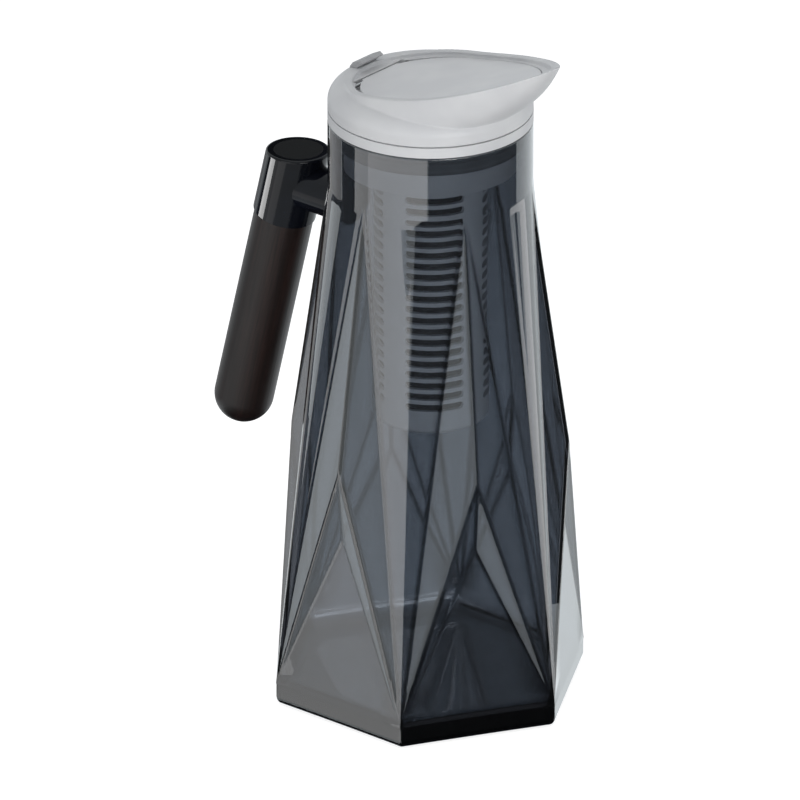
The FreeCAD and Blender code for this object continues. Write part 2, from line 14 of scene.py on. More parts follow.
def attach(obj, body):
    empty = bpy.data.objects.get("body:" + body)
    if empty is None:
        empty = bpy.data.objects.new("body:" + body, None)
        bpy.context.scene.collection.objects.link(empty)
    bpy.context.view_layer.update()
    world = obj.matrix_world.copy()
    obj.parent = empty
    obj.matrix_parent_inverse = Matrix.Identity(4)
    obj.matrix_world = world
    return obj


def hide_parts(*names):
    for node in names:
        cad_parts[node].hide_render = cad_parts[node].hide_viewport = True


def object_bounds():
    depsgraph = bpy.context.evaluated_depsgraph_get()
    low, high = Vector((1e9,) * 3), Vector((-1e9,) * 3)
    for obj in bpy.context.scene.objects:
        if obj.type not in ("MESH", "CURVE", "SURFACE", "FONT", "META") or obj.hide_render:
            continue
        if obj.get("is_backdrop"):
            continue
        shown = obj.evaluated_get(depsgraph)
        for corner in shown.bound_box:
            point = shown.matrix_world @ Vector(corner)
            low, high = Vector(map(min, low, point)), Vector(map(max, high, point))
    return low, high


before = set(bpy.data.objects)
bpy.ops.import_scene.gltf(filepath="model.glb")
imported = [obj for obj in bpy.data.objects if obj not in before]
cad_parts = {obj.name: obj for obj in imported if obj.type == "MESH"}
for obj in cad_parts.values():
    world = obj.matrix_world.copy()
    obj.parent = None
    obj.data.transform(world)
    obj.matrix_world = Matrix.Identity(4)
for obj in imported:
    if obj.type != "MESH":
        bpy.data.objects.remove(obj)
cad_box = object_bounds()
MM = 0.001

# %% [markdown]
# The photograph was taken from far away with a long lens, so upright edges stay parallel. A camera
# nine metres off with a narrow angle gives the same calm perspective. A parallel camera would come
# close too, but it loses the slight taper that a lens keeps. It looks down by about 24 degrees, so
# that the top of the lid and the front corner of the jug both show.

# %% Place the camera
VIEW_AZIMUTH = radians(40.6)
VIEW_ELEVATION = radians(24.3)
PICTURE_WIDTH = 351.0 * MM
LENS_ANGLE = radians(2.2)
looked_at = Vector((-10.1, -8.7, 136.4)) * MM

to_the_right = Vector((cos(VIEW_AZIMUTH), sin(VIEW_AZIMUTH), 0))
towards_front = Vector((sin(VIEW_AZIMUTH), -cos(VIEW_AZIMUTH), 0))
towards_camera = towards_front * cos(VIEW_ELEVATION) + Vector((0, 0, sin(VIEW_ELEVATION)))
camera_data = bpy.data.cameras.new("photo_camera")
camera_data.sensor_width = 36
camera_data.lens = camera_data.sensor_width / 2 / tan(LENS_ANGLE / 2)
camera = bpy.data.objects.new("photo_camera", camera_data)
bpy.context.collection.objects.link(camera)
camera.location = looked_at + towards_camera * (PICTURE_WIDTH / 2 / tan(LENS_ANGLE / 2))
camera.rotation_euler = (-towards_camera).to_track_quat("-Z", "Y").to_euler()
bpy.context.scene.camera = camera
bpy.context.scene.view_settings.view_transform = "Standard"
print("camera stands", round((camera.location - looked_at).length, 2), "m away")

# %% [markdown]
# The jug is moulded in clear smoked plastic. Its six sides fold in and out: each side has a shallow
# recess with a pointed top, a ridge above it, two long facets up to the neck and, at every corner, a
# slim cone that opens into the round neck. The CAD solid has the same facets with sharp edges, and
# moulded edges are slightly round. A bevel tool does badly where so many edges run into one corner,
# so the wall is drawn anew from its measures, as a radius for each direction and height.

# %% Measures of the jug, in millimetres
BASE_CORNER, BASE_BAND, BASE_FILLET = 72.0, 10.0, 4.0
FLOOR, INNER_BAND, INNER_FILLET = 7.0, 8.5, 8.0
RIDGE, RIDGE_Z, RECESS, RECESS_Z = 62.3, 121.0, 59.0, 89.0
NECK, NECK_Z, MOUTH_Z, LIP = 45.0, 242.0, 271.4, 0.8
WALL, NECK_WALL = 3.2, 3.5
SIDE_ANGLE, HALF_SIDE = radians(60), radians(30)
print("jug:", MOUTH_Z, "mm high,", 2 * BASE_CORNER, "mm across the corners of its base")

# %% [markdown]
# Where two facets meet, the wall follows the nearer or the farther of their planes. A plain minimum
# or maximum would leave a knife edge there. A soft one bends from one plane to the other over a short
# way, which rounds the edge, and each kind of edge has its own softness in millimetres.

# %% Round the edges between facets
BASE_EDGE, RECESS_FOLD, RECESS_TOP, SIDE_FOLD = 0.9, 0.5, 0.35, 0.4
FACET_FOLD, CONE_EDGE, NECK_EDGE = 0.7, 0.4, 0.5


def soft_max(a, b, softness):
    near = max(softness - abs(a - b), 0) / softness
    return max(a, b) + near * near * softness / 4


def soft_min(a, b, softness):
    return -soft_max(-a, -b, softness)


print("an edge of the base loses", round(-soft_min(0, 0, BASE_EDGE), 3), "mm")

# %% [markdown]
# Each facet is a plane through three points of a side, chosen from its base corners, the point of the
# recess, the ridge and the foot of the neck. A class works out the planes once, and then gives the
# radius of the wall wherever it is asked. The inner skin has the same form as the outer one, set in
# by the thickness of the wall, so one class serves both.

# %% Draw the wall as a radius
ROUND_NECK_Z = NECK_Z + 3


class JugSkin:
    """One skin of the jug wall, outer or inner, as a radius for each direction and height."""

    def __init__(self, inset, band_z, neck):
        self.band_z, self.neck = band_z, neck
        self.corner_radius = BASE_CORNER - inset / cos(HALF_SIDE)
        self.flat = self.corner_radius * cos(HALF_SIDE)
        self.corner = Vector((self.flat, self.corner_radius / 2, band_z))
        other = Vector((self.flat, -self.corner_radius / 2, band_z))
        recess = Vector((RECESS - inset, 0, RECESS_Z))
        ridge = Vector((RIDGE - inset, 0, RIDGE_Z))
        top = Vector((neck, 0, NECK_Z))
        self.fold_ends = (recess, ridge, top)
        self.recess_facet = self.plane(self.corner, other, recess)
        self.upper_facet = self.plane(self.corner, recess, ridge)
        self.long_facet = self.plane(self.corner, ridge, top)

    @staticmethod
    def plane(a, b, c):
        normal = (b - a).cross(c - a)
        return normal, normal.dot(a)

    @staticmethod
    def reach(facet, turn, z):
        """How far out a facet's plane is, in this direction and at this height."""
        normal, distance = facet
        return (distance - normal.z * z) / (normal.x * cos(turn) + normal.y * sin(turn))

    def cone(self, turn, z):
        """The slim cone from the base corner to the round neck, or 0 beside it."""
        climbed = (z - self.band_z) / (NECK_Z - self.band_z)
        middle, radius = self.corner_radius * (1 - climbed), self.neck * climbed
        aside = middle * sin(HALF_SIDE - turn)
        if aside > radius:
            return 0.0
        return middle * cos(HALF_SIDE - turn) + sqrt(radius * radius - aside * aside)

    def radius(self, angle, z):
        turn = abs(angle % SIDE_ANGLE - HALF_SIDE)
        if z <= self.band_z:
            return soft_min(self.flat / cos(turn), self.flat / cos(SIDE_ANGLE - turn), BASE_EDGE)
        if z >= ROUND_NECK_Z:
            return self.neck
        recess = self.reach(self.recess_facet, turn, z)
        upper = soft_max(*(self.reach(self.upper_facet, t, z) for t in (turn, -turn)), RECESS_FOLD)
        long = soft_min(*(self.reach(self.long_facet, t, z) for t in (turn, -turn)), SIDE_FOLD)
        wall = soft_min(soft_max(recess, upper, RECESS_TOP), long, FACET_FOLD)
        if z < NECK_Z:
            wall = soft_max(wall, self.cone(turn, z), CONE_EDGE)
        return soft_max(wall, self.neck, NECK_EDGE)


outer_skin = JugSkin(0.0, BASE_BAND, NECK)
inner_skin = JugSkin(WALL, FLOOR + INNER_BAND, NECK - NECK_WALL)
ridge_wall = outer_skin.radius(HALF_SIDE, RIDGE_Z) - inner_skin.radius(HALF_SIDE, RIDGE_Z)
print("wall at the ridge", round(ridge_wall, 2), "mm")

# %% [markdown]
# Clear plastic bends the view behind it, so a slightly wrong normal shows at once. Blender could
# average the normals of neighbouring faces, but next to a fold that tilts the flat facets. Here they
# are measured on the wall itself, from its radius a little to each side and a little up and down.

# %% Measure normals on the wall
NORMAL_STEP = 0.15


def wall_normal(skin, angle, z):
    r, step = skin.radius(angle, z), NORMAL_STEP
    around = (skin.radius(angle + step / r, z) - skin.radius(angle - step / r, z)) / (2 * step)
    up = (skin.radius(angle, z + step) - skin.radius(angle, z - step)) / (2 * step)
    out, side = Vector((cos(angle), sin(angle), 0)), Vector((-sin(angle), cos(angle), 0))
    return (out - side * around - Vector((0, 0, up))).normalized()


print("the middle of a recess faces", [round(v, 3) for v in wall_normal(outer_skin, HALF_SIDE, 50)])

# %% [markdown]
# On the real jug every fold shows as a fine dark line, where the moulded edge bends the view away. That
# darkness is light and shade, but the line is thinner than the wall, so it is painted shade in the
# colour of the surface. For that, one function says where the folds are at a height, and another how
# near a place is to one of them.

# %% Find the folds
FOLD_WIDTH, FOLD_FADE = 0.9, 30


def fold_turns(skin, z):
    """Where the three folds of half a side are at this height, as angles from its middle."""
    turns = []
    for end in skin.fold_ends:
        climbed = min(max((z - skin.band_z) / (end.z - skin.band_z), 0), 1)
        point = skin.corner.lerp(end, climbed)
        turns.append(atan2(point.y, point.x))
    return turns


def fold_nearness(skin, angle, z):
    """1 on a fold of the wall, fading to 0 beside it and towards the neck: the mask of the painted shade
    lines.
    """
    if z <= skin.band_z or z >= NECK_Z:
        return 0.0
    turn = abs(angle % SIDE_ANGLE - HALF_SIDE)
    lines = fold_turns(skin, z) + ([0.0] if z > RECESS_Z else [])
    apart = min(abs(turn - line) for line in lines) * skin.radius(angle, z)
    return exp(-(apart / FOLD_WIDTH) ** 2) * min((NECK_Z - z) / FOLD_FADE, 1)


print("folds at the ridge:", [round(turn, 3) for turn in fold_turns(outer_skin, RIDGE_Z)])

# %% [markdown]
# The mesh follows the folds. In every row of vertices, columns gather round the folds and stay apart
# elsewhere, so that flat facets are flat and edges are round. An even grid would need many more
# vertices to do that. Near the base, where folds run together at a corner, the columns move closer,
# and a least distance keeps them in order.

# %% Spread the columns of the jug mesh, in millimetres
BESIDE_FOLD = (-1.2, -0.6, 0.0, 0.6, 1.2)
CROWDED_Z = RECESS_Z - 9
FOLD_ROOM, LEAST_SPREAD = 3.2, 0.12
LEAST_GAP, CROWDED_GAP = 0.1, 0.04


def half_side_turns(skin, z):
    """The column angles over half a side, from its middle to its corner."""
    one_mm, crowded = 1.0 / skin.radius(HALF_SIDE / 2, z), z < CROWDED_Z
    turns = [offset * one_mm for offset in BESIDE_FOLD[2:]]
    stops = [0.0, *fold_turns(skin, z), HALF_SIDE]
    for before, fold, after in zip(stops, stops[1:], stops[2:]):
        room = min(fold - before, after - fold) / FOLD_ROOM
        spread = max(min(one_mm, room), LEAST_SPREAD * one_mm) if crowded else one_mm
        start, end = turns[-1], fold + BESIDE_FOLD[0] * spread
        turns += [start + (end - start) * i / 3 for i in (1, 2)]
        turns += [fold + spread * offset for offset in BESIDE_FOLD]
    start = turns[-1]
    turns += [start + (HALF_SIDE - start) * i / 6 for i in range(1, 7)]
    least = (CROWDED_GAP if crowded else LEAST_GAP) * one_mm
    for i in range(1, len(turns)):
        turns[i] = max(turns[i], turns[i - 1] + least)
    turns[-1] = HALF_SIDE
    for i in range(len(turns) - 2, 0, -1):
        turns[i] = min(turns[i], turns[i + 1] - least)
    return turns


def ring_angles(skin, z):
    half = half_side_turns(skin, z)
    side = [-turn for turn in half[:0:-1]] + half[:-1]
    return [k * SIDE_ANGLE + HALF_SIDE + turn for k in range(6) for turn in side]


print(len(ring_angles(outer_skin, RECESS_Z)), "columns")

# %% [markdown]
# One closed skin runs from the base, up the outside, over the rounded mouth, down the inside and
# across the floor. Two shells and a boolean cut could give the same form, but a single run of rows
# is sure to be closed, and clear plastic only renders well inside a closed skin. Rows lie close
# together where folds meet, and quarter rounds make the base, the lip and the inner fillet.

# %% Stack the rows of the jug
points, normals, fold_shade_marks, rows = [], [], [], []


def wall_heights(skin, low):
    """Row heights up the wall, from (height, rows up to the next height)."""
    band = skin.band_z
    stops = ((low, 4), (band, 4), (band + 2, 14), (RECESS_Z - 5, 8), (RECESS_Z + 5, 5),
             (RIDGE_Z - 5, 8), (RIDGE_Z + 5, 16), (NECK_Z - 6, 3), (NECK_Z - 2, 8), (NECK_Z + 4, 4),
             (MOUTH_Z - LIP, 0))
    return [a + (b - a) * i / n for (a, n), (b, _) in zip(stops, stops[1:]) for i in range(n)]


def add_row(skin, z, shape_z, shrink=0.0, tilt=0.0, facing=1):
    """One ring of vertices; tilt turns the normal from the wall (0) to straight up or down (90)."""
    start = len(points)
    for angle in ring_angles(skin, shape_z):
        r = skin.radius(angle, shape_z) - shrink
        points.append(Vector((r * cos(angle), r * sin(angle), z)) * MM)
        wall = wall_normal(skin, angle, shape_z) * facing
        normals.append((wall * cos(tilt) + Vector((0, 0, sin(tilt)))).normalized())
        # the nearness to a fold is the mask of the painted shade lines on the folds
        fold_shade_marks.append(fold_nearness(skin, angle, shape_z))
    rows.append(range(start, len(points)))


def quarter(steps, first=0):
    """The angles of a quarter round, from level to upright."""
    return [pi / 2 * i / steps for i in range(first, steps + 1)]


for turn in quarter(7)[:-1]:
    add_row(outer_skin, BASE_FILLET * (1 - cos(turn)), BASE_BAND, BASE_FILLET * (1 - sin(turn)),
            turn - pi / 2)
for z in wall_heights(outer_skin, BASE_FILLET):
    add_row(outer_skin, z, z)
for turn in quarter(4):
    add_row(outer_skin, MOUTH_Z - LIP * (1 - sin(turn)), MOUTH_Z, LIP * (1 - cos(turn)), turn)
for turn in reversed(quarter(4)):
    add_row(inner_skin, MOUTH_Z - LIP * (1 - sin(turn)), MOUTH_Z, -LIP * (1 - cos(turn)), turn, -1)
for z in reversed(wall_heights(inner_skin, FLOOR + INNER_FILLET)):
    add_row(inner_skin, z, z, facing=-1)
for turn in quarter(6, 1):
    add_row(inner_skin, FLOOR + INNER_FILLET * (1 - sin(turn)), FLOOR + INNER_BAND,
            INNER_FILLET * (1 - cos(turn)), turn, -1)
print(len(rows), "rows")

# %% [markdown]
# Four-sided faces join each row to the next one, and two faces with many sides close the base and the
# floor. The mesh takes the measured normals as its own, and keeps the nearness to a fold as a number
# on each vertex, which the finish uses to paint its shade lines. A small helper then puts any new piece
# on the body that it moves with, and hides the CAD solid that it stands for.

# %% Join the rows into the jug
faces = [tuple(reversed(rows[0])), tuple(rows[-1])]
for lower, upper in zip(rows, rows[1:]):
    n = len(lower)
    faces += [(lower[i], lower[(i + 1) % n], upper[(i + 1) % n], upper[i]) for i in range(n)]
jug_mesh = bpy.data.meshes.new("smoked_jug")
jug_mesh.from_pydata(points, [], faces)
jug_mesh.shade_smooth()
jug_mesh.normals_split_custom_set_from_vertices(normals)
jug_mesh.attributes.new("fold", "FLOAT", "POINT").data.foreach_set("value", fold_shade_marks)


def add_piece(name, mesh, body, node):
    """Puts a mesh on its moving body and hides the CAD node that it stands for."""
    piece = bpy.data.objects.new(name, mesh)
    bpy.context.collection.objects.link(piece)
    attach(piece, body)
    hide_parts(node)
    return piece


smoked_jug = add_piece("smoked_jug", jug_mesh, "jug", "jug_vessel")
print("jug:", len(points), "vertices,", len(faces), "faces")

# %% [markdown]
# Every finish below is a small network of shader nodes. Wiring them one by one hides the idea, so a
# class wraps a socket and lets the maths be written as ordinary Python: adding two wires adds a Math
# node, and numbers alone are worked out before they reach a node. One method makes any other node
# from its type, its settings and its sockets.

# %% Write shader maths as Python
class Wire:
    """One output socket of a node network, used as a value."""

    def __init__(self, tree, socket=None):
        self.tree, self.socket = tree, socket

    def node(self, kind, settings=None, values=None, out=0):
        made = self.tree.nodes.new(kind)
        for name, value in (settings or {}).items():
            setattr(made, name, value)
        for name, value in (values or {}).items():
            if isinstance(value, Wire):
                self.tree.links.new(value.socket, made.inputs[name])
            else:
                made.inputs[name].default_value = value
        return Wire(self.tree, made.outputs[out])

    def maths(self, operation, *numbers):
        return self.node("ShaderNodeMath", {"operation": operation}, dict(enumerate(numbers)))

    def __add__(self, other): return self.maths("ADD", self, other)
    def __radd__(self, other): return self.maths("ADD", other, self)
    def __sub__(self, other): return self.maths("SUBTRACT", self, other)
    def __rsub__(self, other): return self.maths("SUBTRACT", other, self)
    def __mul__(self, other): return self.maths("MULTIPLY", self, other)
    def __rmul__(self, other): return self.maths("MULTIPLY", other, self)

    def larger(self, other): return self.maths("MAXIMUM", self, other)
    def sine(self): return self.maths("SINE", self)

    def between(self, low, high):
        """0 below low, 1 above high, and a soft step from one to the other."""
        return self.node("ShaderNodeMapRange", {"interpolation_type": "SMOOTHSTEP"},
                         {"Value": self, "From Min": low, "From Max": high})

    def blend(self, first, second):
        """A colour that goes from first to second as this wire goes from 0 to 1."""
        return self.node("ShaderNodeMix", {"data_type": "RGBA"}, {0: self, 6: first, 7: second}, out=2)

    def stretched(self, scale):
        """Places drawn out along an axis where scale is small, as along the fibres of wood."""
        return self.node("ShaderNodeVectorMath", {"operation": "MULTIPLY"}, {0: self, 1: scale})

    def noise(self, scale, detail=2.0, roughness=0.5):
        return self.node("ShaderNodeTexNoise", None,
                         {"Vector": self, "Scale": scale, "Detail": detail, "Roughness": roughness})

    def part(self, letter):
        return self.node("ShaderNodeSeparateXYZ", None, {0: self}, out=letter)

    def beside(self, name):
        """Another output of the node that this wire leaves."""
        return Wire(self.tree, self.socket.node.outputs[name])


print("a wire knows", [name for name in vars(Wire) if not name.startswith("_")])

# %% [markdown]
# Three helpers keep the finishes short. One starts an empty material, one joins a wire to its output,
# and one closes it with a Principled surface, which is Blender's general model of plastic, wood, metal
# and glass. Separate shaders could be mixed for each finish, but this one already mixes them well.

# %% Helpers for finishes
def new_finish(name):
    """An empty material, its output node, and a wire that carries places on the object."""
    material = bpy.data.materials.new(name)
    material.use_nodes = True
    material.node_tree.nodes.clear()
    end = material.node_tree.nodes.new("ShaderNodeOutputMaterial")
    return material, end, Wire(material.node_tree).node("ShaderNodeTexCoord", out="Object")


def join(wire, end, name="Surface"):
    wire.tree.links.new(wire.socket, end.inputs[name])


def surface(end, places, values, bump=None, strength=0.1, depth=0.2 * MM):
    """A Principled surface joined to the output, with a bump where one is given."""
    if bump is not None:
        height = {"Height": bump, "Strength": strength, "Distance": depth}
        values = {**values, "Normal": places.node("ShaderNodeBump", None, height)}
    join(places.node("ShaderNodeBsdfPrincipled", None, values), end)


print("finishes end in a Principled surface")

# %% [markdown]
# Smoked plastic takes its grey from two things. Light loses more on a longer way through the wall, so
# the thick floor is darker: volume absorption does that. The surface itself tints what passes it, a
# little bluer. Along the folds it also carries painted shade: dark lines that stand for the moulded edge
# bending the view away. A thin coat adds the polish that makes the facets mirror the studio.

# %% Smoked plastic
DEEP_SMOKE, PALE_SMOKE = (0.485, 0.55, 0.62, 1), (0.505, 0.57, 0.64, 1)
PAINTED_FOLD_SHADE, LIGHT_KEPT = (0.06, 0.07, 0.085, 1), (0.02, 0.01, 0.03, 1)
smoked_plastic, end, places = new_finish("smoked_plastic")
smoke = places.noise(60, 3).blend(DEEP_SMOKE, PALE_SMOKE)
# painted shade: near the folds the tint turns almost black, drawing dark lines that stand for the edge
# bending the view away
fold = places.node("ShaderNodeAttribute", {"attribute_name": "fold"}, out="Fac")
surface(end, places, {"Base Color": fold.blend(smoke, PAINTED_FOLD_SHADE), "Transmission Weight": 1.0,
                      "IOR": 1.5, "Roughness": 0.0, "Coat Weight": 0.75, "Coat Roughness": 0.0})
absorbing = places.node("ShaderNodeVolumeAbsorption", None, {"Color": LIGHT_KEPT, "Density": 262.0})
join(absorbing, end, "Volume")
smoked_jug.data.materials.append(smoked_plastic)
print("smoked plastic has", len(places.tree.nodes), "nodes")

# %% [markdown]
# The lid is satin plastic with a leaf-shaped spout on a round ring. Its CAD edges are knife sharp, and
# a moulded lid has none. Bevels would fail where the curved spout meets the ring, so copies of the
# solids are rebuilt from fine voxels and smoothed a little, which eases every edge at once.

# %% Ease the edges of the lid
EASE_FACTOR, EASE_ROUNDS, FACES_KEPT = 0.5, 4, 0.25


def eased_copy(node, name, voxel):
    """A copy of a CAD node whose edges are eased: fine voxels, smoothed, then thinned out."""
    copy = bpy.data.objects.new(name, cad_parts[node].data.copy())
    bpy.context.collection.objects.link(copy)
    remesh = copy.modifiers.new("voxels", "REMESH")
    remesh.mode, remesh.voxel_size = "VOXEL", voxel
    ease = copy.modifiers.new("ease", "SMOOTH")
    ease.factor, ease.iterations = EASE_FACTOR, EASE_ROUNDS
    copy.modifiers.new("thin", "DECIMATE").ratio = FACES_KEPT
    bpy.context.view_layer.update()
    mesh = bpy.data.meshes.new_from_object(copy.evaluated_get(bpy.context.evaluated_depsgraph_get()))
    bpy.data.objects.remove(copy)
    mesh.name = name
    mesh.materials.clear()
    mesh.shade_smooth()
    print(name, "has", len(mesh.polygons), "faces")
    return mesh


def eased_piece(name, node, voxel, body):
    return add_piece(name, eased_copy(node, name, voxel), body, node)


lid_cover = eased_piece("lid_cover", "lid_shell", 0.36 * MM, "lid")
thumb_tongue = eased_piece("thumb_tongue", "thumb_rest", 0.3 * MM, "lid")
spout_flap = eased_piece("spout_flap", "pour_flap", 0.3 * MM, "flap")

# %% [markdown]
# Satin plastic has a grain too fine to see, which spreads its highlights, and a colour that drifts by a
# shade or two. A broad noise gives the drift and a very fine one the grain. One grey would do from afar,
# but the thumb tongue gets a darker grey, which is painted shade for the shadow on its front face, and
# the flap a lighter one, which is painted light that makes up for the lesser light on its top. Greys are
# given as they look on a screen and turned into the linear numbers that shaders use.

# %% Satin lid plastic
def colour(*levels):
    """A colour given as it looks on screen, 0 to 255, in linear numbers with full alpha."""
    return (*(((v / 255 + 0.055) / 1.055) ** 2.4 if v > 10 else v / 255 / 12.92 for v in levels), 1)


def satin_plastic(name, grey):
    material, end, places = new_finish(name)
    cloud = places.noise(45, 2)
    low, high = colour(grey - 4, grey - 3, grey - 1), colour(grey + 4, grey + 5, grey + 6)
    surface(end, places, {"Base Color": cloud.between(0.3, 0.7).blend(low, high),
                          "Roughness": cloud * 0.06 + 0.42, "IOR": 1.46},
            places.noise(2600), 0.12, 0.15 * MM)
    return material


def paint(finish, *nodes):
    """Carried-over CAD nodes take a finish in all of their material slots."""
    for node in nodes:
        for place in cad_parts[node].material_slots:
            place.material = finish


lid_grey = satin_plastic("lid_grey", 202)
lid_cover.data.materials.append(lid_grey)
# painted shade: the tongue is the lid's plastic in a darker grey, for the shadow on its front face
thumb_tongue.data.materials.append(satin_plastic("tongue_painted_shade_grey", 164))
# painted light: the flap is a lighter grey than the lid, making up for the lesser light on its top
spout_flap.data.materials.append(satin_plastic("flap_grey", 215))
paint(lid_grey, "lid_base")
print("a lid grey of 202 is", round(colour(202)[0], 3), "in linear numbers")

# %% [markdown]
# The strainer is a cage of pale plastic with rows of slots. Its CAD shape is right and stays, and only
# needs a finish. Several more parts are plain materials as well, so one helper makes a finish whose
# colour and roughness drift a little over a fine grain. A single flat colour would look like paint.

# %% The strainer cage
FINE_GRAIN = 900


def speckled(name, low, high, rough, scale, metal=0.0, gloss=0.5, strength=0.1):
    """A plain finish whose colour and roughness drift a little, over a fine grain."""
    material, end, places = new_finish(name)
    spots = places.noise(scale, 3)
    surface(end, places, {"Base Color": spots.between(0.3, 0.7).blend(colour(*low), colour(*high)),
                          "Roughness": spots * 0.1 + rough, "Metallic": metal,
                          "Specular IOR Level": gloss}, places.noise(FINE_GRAIN, 2), strength)
    return material


paint(speckled("strainer_grey", (206, 208, 210), (214, 215, 217), 0.4, 60), "strainer_cage")
print("strainer painted")

# %% [markdown]
# The cage is lined with a woven steel gauze, which shows through its slots. Its near-black colour is
# partly the dark wire and partly painted shade for the unlit inside of the closed cage. Modelling every
# wire would take millions of faces, so the weave is drawn with maths: a sine of the angle round the axis
# gives upright wires, a sine of the height gives level ones, and the larger of the two is the wire on
# top.

# %% The gauze
UPRIGHT_WIRES, LEVEL_WAVES = 240, 10000
gauze, end, places = new_finish("gauze_and_painted_shade")
round_axis = places.maths("ARCTAN2", places.part("Y"), places.part("X"))
upright = (round_axis * UPRIGHT_WIRES).sine()
level = (places.part("Z") * LEVEL_WAVES).sine()
weave = upright.larger(level)
# partly painted shade: the near-black wires also stand for the unlit inside of the closed cage
wires = weave.between(0.0, 0.9).blend(colour(8, 8, 9), colour(34, 35, 37))
surface(end, places, {"Base Color": wires, "Roughness": 0.4 - weave * 0.05, "Metallic": 0.4},
        weave, 0.4, 0.1 * MM)
paint(gauze, "strainer_mesh")
print("a level wire every", round(2 * pi / LEVEL_WAVES / MM, 2), "mm")

# %% [markdown]
# Small parts: soft grey rubber for the two seals, steel for the hinge pin, the bolt, its washer and the
# gauze's rings, and brass for the insert in the wood. Most of them are hidden, but they show when the
# lid is lifted or a part is taken out. The same helper serves them all, because metal and rubber differ
# from plastic only in a few of its numbers.

# %% Rubber, steel and brass
paint(speckled("seal_rubber", (108, 110, 112), (122, 124, 126), 0.55, 80), "lid_seal", "strainer_ring")
paint(speckled("steel", (150, 150, 150), (180, 180, 180), 0.2, 300, metal=1.0),
      "grip_bolt", "bolt_washer", "flap_pin", "mesh_hoop", "mesh_end_disc")
paint(speckled("brass", (170, 130, 60), (190, 150, 80), 0.25, 300, metal=1.0), "grip_insert")
print("small parts painted")

# %% [markdown]
# The holder is the same smoked plastic as the jug, but so thick that it looks black with a breath of
# blue. A glossy dark surface renders far faster than deep clear plastic and looks the same. The plug on
# top is dull black.

# %% The holder and its plug
paint(speckled("smoked_holder", (6, 7, 10), (13, 15, 22), 0.01, 40, gloss=0.18, strength=0.01),
      "handle_holder")
paint(speckled("black_plastic", (5, 5, 6), (9, 9, 10), 0.4, 60, gloss=0.03), "holder_top_plug")
print("holder painted")

# %% [markdown]
# The grip is turned from dark wood. A picture of wood could be wrapped round it, but it would show a
# seam and stretch at the round end. Noise in space has neither. The fibres run along the grip, which
# leans away from the jug, so places are first turned upright and then drawn out along the length.
# Broad bands, fine fibres and dark pores are three noises at different scales, and the fibres also
# lift the surface a little.

# %% Dark wood
GRIP_TILT = radians(14.2)
dark_wood, end, places = new_finish("dark_wood")
along = places.node("ShaderNodeVectorRotate", {"rotation_type": "Y_AXIS"},
                    {"Vector": places, "Angle": -GRIP_TILT})
bands = along.stretched((1, 1, 0.08)).noise(130, 3)
fibres = along.stretched((1, 1, 0.035)).noise(900, 4, 0.6)
pores = along.stretched((1, 1, 0.02)).noise(2200).between(0.62, 0.75)
wood = bands.between(0.25, 0.75).blend(colour(20, 12, 10), colour(44, 27, 23))
wood = (fibres.between(0.35, 0.65) * 0.8).blend(wood, colour(18, 11, 9))
wood = (pores * 0.5).blend(wood, colour(16, 10, 9))
surface(end, places, {"Base Color": wood, "Roughness": fibres * 0.15 + 0.32,
                      "Specular IOR Level": 0.36}, fibres - pores * 0.5, 0.25, 0.1 * MM)
paint(dark_wood, "wood_grip")
print("wood has", len(places.tree.nodes), "nodes")

# %% [markdown]
# The jug stands on a plain white floor. A floor lit to white would need so much light that the lid
# burns out. Instead, the paper gets a glow where it is seen directly or through the jug, which brings
# it to white and still lets it take a soft shadow. Mirror reflections don't see it: they look past it
# into the white room, because the facets should mirror a studio that is far away.

# %% Floor
WHITE, FLOOR_GLOW = (1, 1, 1, 1), 0.66
PAPER_LOW, PAPER_HIGH = (0.72, 0.72, 0.72, 1), (0.76, 0.76, 0.76, 1)
FLOOR_RADIUS, FLOOR_DROP = 2.5, 0.2 * MM


def seen_rays(pen):
    """A wire that is 1 for rays straight from the camera or through the jug."""
    straight = pen.node("ShaderNodeLightPath", out="Is Camera Ray")
    return straight.larger(straight.beside("Is Transmission Ray"))


def stage_mesh(name, outline, height, finish):
    """A flat sheet of the studio, which isn't part of the object."""
    mesh = bpy.data.meshes.new(name)
    mesh.from_pydata(outline, [], [tuple(range(len(outline)))])
    mesh.materials.append(finish)
    sheet = bpy.data.objects.new(name, mesh)
    sheet.location.z = height
    bpy.context.collection.objects.link(sheet)
    sheet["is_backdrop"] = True
    return sheet


floor_white, end, places = new_finish("floor_white")
paper = places.node("ShaderNodeBsdfDiffuse", None,
                    {"Color": places.noise(8).blend(PAPER_LOW, PAPER_HIGH)})
glow = places.node("ShaderNodeEmission", None, {"Color": WHITE, "Strength": FLOOR_GLOW})
glowing = places.node("ShaderNodeAddShader", None, {0: paper, 1: glow})
join(places.node("ShaderNodeMixShader", None, {0: seen_rays(places), 1: paper, 2: glowing}), end)
rim = [(FLOOR_RADIUS * cos(radians(a)), FLOOR_RADIUS * sin(radians(a)), 0) for a in range(0, 360, 5)]
stage_mesh("floor", rim, -FLOOR_DROP, floor_white).visible_glossy = False
print("floor is", 2 * FLOOR_RADIUS, "m across")

# %% [markdown]
# A white room surrounds the floor. One plain background would either look grey or light the object too
# strongly. So it looks white at full strength, lights the object at about half of that, and shows
# itself a little cooler in mirror reflections. Lamps give the rest of the light.

# %% White room
ROOM_LIGHT = 0.52
SOFT_WHITE, COOL_WHITE = (0.97, 0.98, 1.0, 1), (0.91, 0.97, 1.0, 1)
world = bpy.data.worlds.new("white_room")
world.use_nodes = True
world.node_tree.nodes.clear()
room = Wire(world.node_tree)


def backdrop(tint, strength):
    return room.node("ShaderNodeBackground", None, {"Color": tint, "Strength": strength})


